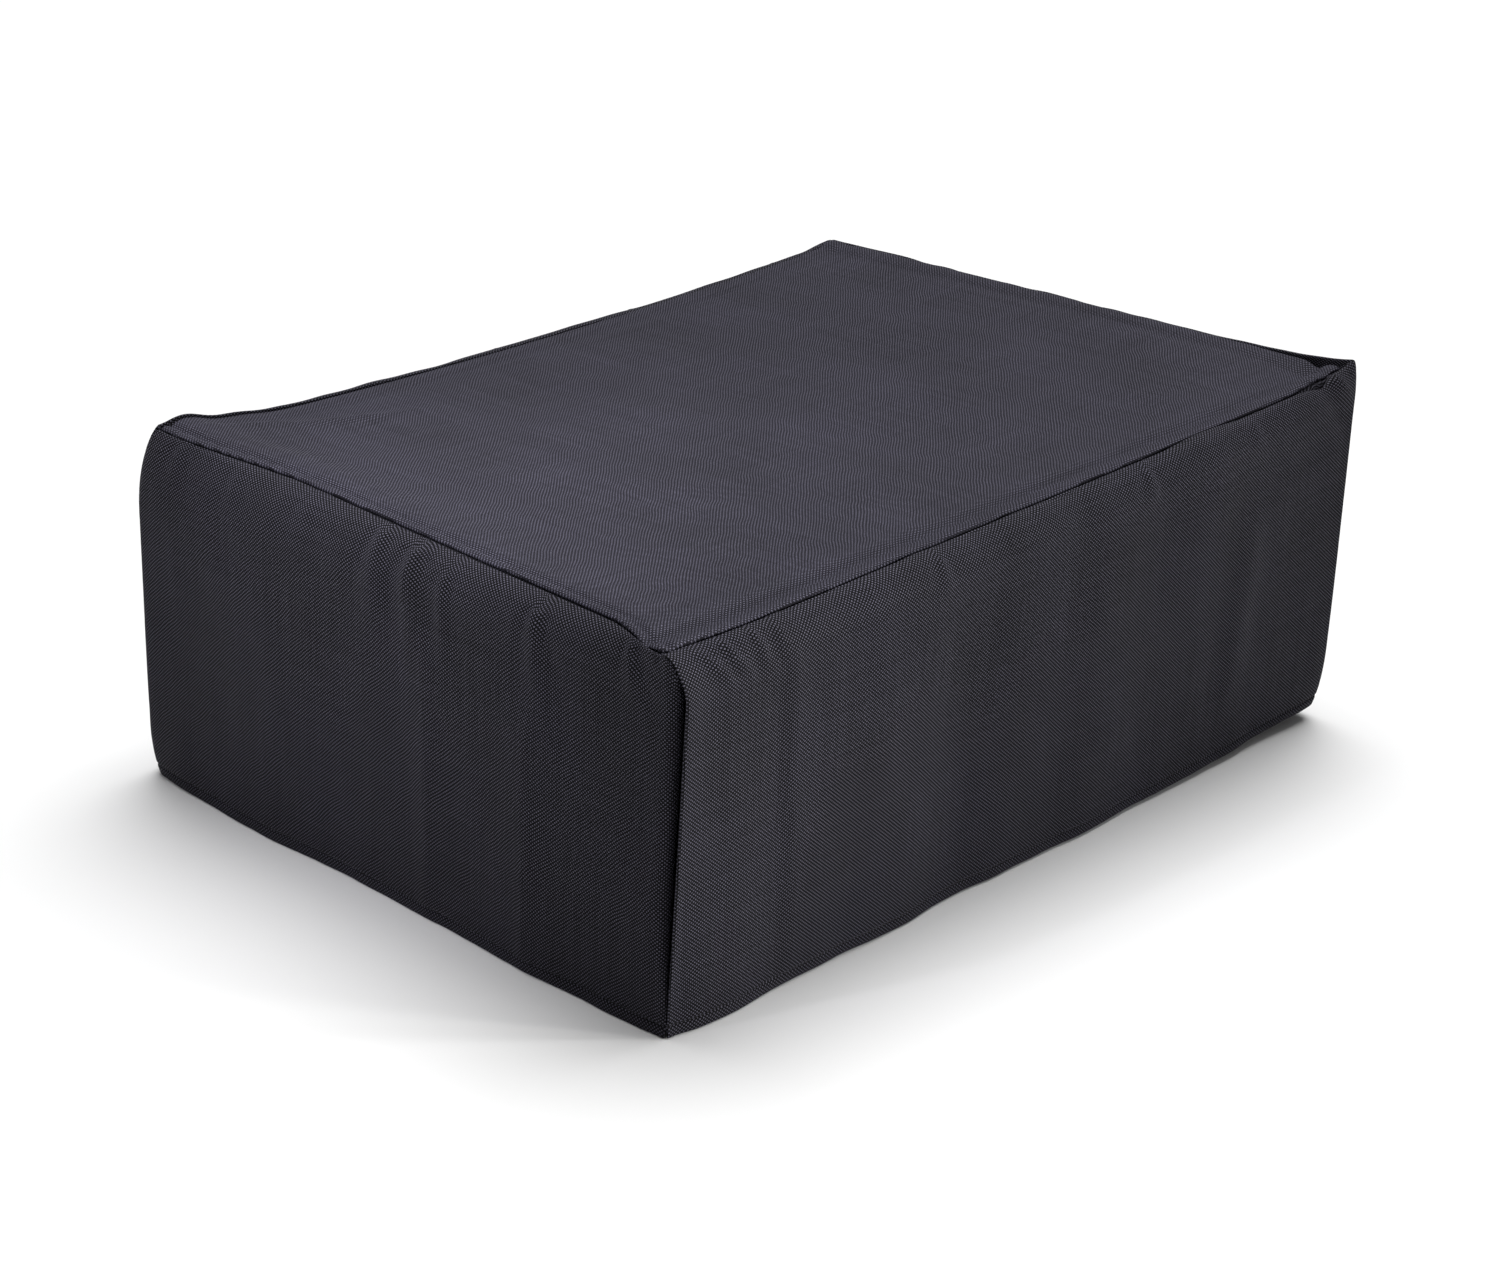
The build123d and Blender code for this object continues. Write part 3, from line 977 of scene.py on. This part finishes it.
def make_corner_threads(walls):
    """Each corner seam's two threads, on the faces of its two allowances."""
    for corner, name in enumerate(CORNERS):
        for role, wall, end in (("needle", corner, 1), ("bobbin", (corner + 1) % 4, 0)):
            line = fin_line(walls[wall], end, CORNER_FIN - 1)
            along = to_frame(wall, 1.0, 0.0, 0.0) - to_frame(wall, 0.0, 0.0, 0.0)
            inner = along * (-1 if end == 1 else 1) + outward_of(wall)
            away = np.repeat((inner / np.linalg.norm(inner))[None], len(line), 0)
            paths = stitch_paths(line + away * 0.5 * CLOTH, away, 0.14)
            node = f"corner_seam_{role}_thread_{name}"
            thread_piece(f"corner_seam_{role}_stitches_{name}", paths, 0.15, node, "sewing_thread")


def overlock_loops(edge_a, root_a, edge_b, root_b):
    """Loops over a pair of raw edges: in along one face, over the edge and back along the other."""
    total = reach_of(edge_a)[-1]
    count = int(total / OVERLOCK_PITCH)
    place = (np.arange(count) + 0.5) * total / count
    slant = 0.42 * OVERLOCK_PITCH
    edge_one = along_path(edge_a, place, edge_a)
    edge_two, root_one, root_two = (
        along_path(path, (place + shift) * reach_of(path)[-1] / total, path)
        for path, shift in ((edge_b, 0.0), (root_a, slant), (root_b, -slant))
    )
    across = edge_one - edge_two
    across /= np.linalg.norm(across, axis=1, keepdims=True) + 1e-9
    over = 0.5 * (edge_one + edge_two) - 0.5 * (root_one + root_two)
    over /= np.linalg.norm(over, axis=1, keepdims=True) + 1e-9
    lift = OVERLOCK_HALF_THICKNESS * across
    rings = [
        root_one + lift * 0.6,
        root_one + lift,
        0.5 * (root_one + edge_one) + lift * 1.15,
        edge_one + lift + over * 0.05,
        0.5 * (edge_one + edge_two) + lift * 0.6 + over * 0.42,
        0.5 * (edge_one + edge_two) - lift * 0.6 + over * 0.42,
        edge_two - lift + over * 0.05,
        0.5 * (root_two + edge_two) - lift * 1.15,
        root_two - lift,
        root_two - lift * 0.6,
    ]
    return np.stack(rings, 1)


def make_overlock(walls):
    """The overlock over the raw edges of the top seam and of each corner seam."""
    lines = [
        closed(inset_loop(inset, SEAM_COUNTS, lower))
        for lower in (FOLD_GAP, FOLD_GAP + LAYER)
        for inset in (SEAM_ALLOWANCE, SEAM_ALLOWANCE - OVERLOCK_WIDTH)
    ]
    paths = overlock_loops(*lines)
    thread_piece("top_seam_overlock_loops", paths, 0.12, "top_seam_overlock", "overlock_thread")
    for corner, name in enumerate(CORNERS):
        sides = ((walls[corner], 1), (walls[(corner + 1) % 4], 0))
        lines = [fin_line(points, end, column) for points, end in sides for column in (0, 3)]
        paths = overlock_loops(*lines)
        node = f"corner_seam_overlock_{name}"
        thread_piece(f"corner_seam_overlock_loops_{name}", paths, 0.12, node, "overlock_thread")


# ------------------------------ the cover
wall_points = []
for number, wall_name in enumerate(WALLS):
    cloth, grid = make_wall(number)
    wall_points.append(grid)
    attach(cloth, "root")
    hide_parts(f"{wall_name}_panel")

top_cloth = make_top()
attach(top_cloth, "root")
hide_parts("top_panel")

make_hem_threads(wall_points)
make_top_threads()
make_corner_threads(wall_points)
make_overlock(wall_points)


# ------------------------------ studio
def add_floor():
    """A plain floor, far larger than the view."""
    size = 30.0
    points = [(-size, -size, 0), (size, -size, 0), (size, size, 0), (-size, size, 0)]
    mesh = bpy.data.meshes.new("floor")
    mesh.from_pydata(points, [], [(0, 1, 2, 3)])
    mesh.materials.append(studio_floor())
    floor = bpy.data.objects.new("floor", mesh)
    bpy.context.scene.collection.objects.link(floor)


def add_light(name, kind, power):
    """A new light and its data."""
    lamp = bpy.data.lights.new(name, kind)
    lamp.energy = power
    light = bpy.data.objects.new(name, lamp)
    bpy.context.scene.collection.objects.link(light)
    return light, lamp


def add_sun(name, direction, strength, softness):
    """A sun with a wide disc, so that it acts as a large softbox; softness is in degrees."""
    light, lamp = add_light(name, "SUN", strength)
    lamp.angle = math.radians(softness)
    light.rotation_euler = Vector(direction).to_track_quat("-Z", "Y").to_euler()


def add_spot(name, place, target, cone, power, colour=(1.0, 1.0, 1.0)):
    """A spot that fades to the edge of its cone, which is in degrees."""
    light, lamp = add_light(name, "SPOT", power)
    lamp.color = colour
    lamp.spot_size = math.radians(cone)
    lamp.spot_blend = 1.0
    lamp.shadow_soft_size = 0.1
    light.location = place
    light.rotation_euler = (Vector(target) - Vector(place)).to_track_quat("-Z", "Y").to_euler()


def add_lights():
    """Soft light from above that keeps the floor white, two keys on the front and one on the left roll."""
    world = bpy.data.worlds.new("studio")
    world.use_nodes = True
    world.node_tree.nodes["Background"].inputs["Color"].default_value = (1.0, 1.0, 1.0, 1.0)
    world.node_tree.nodes["Background"].inputs["Strength"].default_value = 0.14
    bpy.context.scene.world = world
    add_sun("overhead_softbox", (-0.30, -0.18, -1.0), 3.4, 52.0)
    corner, left_roll = (-0.27, -0.178, 0.10), (-0.235, 0.03, 0.20)
    warm, cool = (1.0, 0.99, 0.95), (0.95, 0.94, 1.0)
    add_spot("key_on_the_front", (1.0, -1.35, 0.45), (-0.20, -0.178, 0.11), 27.0, 52.0)
    add_spot("key_on_the_front_left_corner", (0.7, -1.55, 0.32), corner, 12.0, 85.0, warm)
    add_spot("key_on_the_left_roll", (-1.3, 0.2, 1.25), left_roll, 14.5, 74.0, cool)


def add_camera():
    """The camera looks down on the front left corner, with a slight roll."""
    azimuth, elevation, roll = math.radians(46.25), math.radians(23.76), math.radians(1.27)
    target = Vector((-0.0581, -0.0517, 0.5 * HEIGHT * MM))
    distance = 1.6606
    level = math.cos(elevation)
    forward = Vector((math.sin(azimuth) * level, math.cos(azimuth) * level, -math.sin(elevation)))
    data = bpy.data.cameras.new("camera")
    data.lens = 84.85
    data.sensor_width = 36.0
    camera = bpy.data.objects.new("camera", data)
    camera.location = target - distance * forward
    camera.rotation_mode = "QUATERNION"
    look = forward.to_track_quat("-Z", "Y")
    camera.rotation_quaternion = look @ Matrix.Rotation(roll, 3, "Z").to_quaternion()
    bpy.context.scene.collection.objects.link(camera)
    bpy.context.scene.camera = camera


add_floor()
add_lights()
add_camera()
bpy.context.scene.view_settings.view_transform = "Standard"
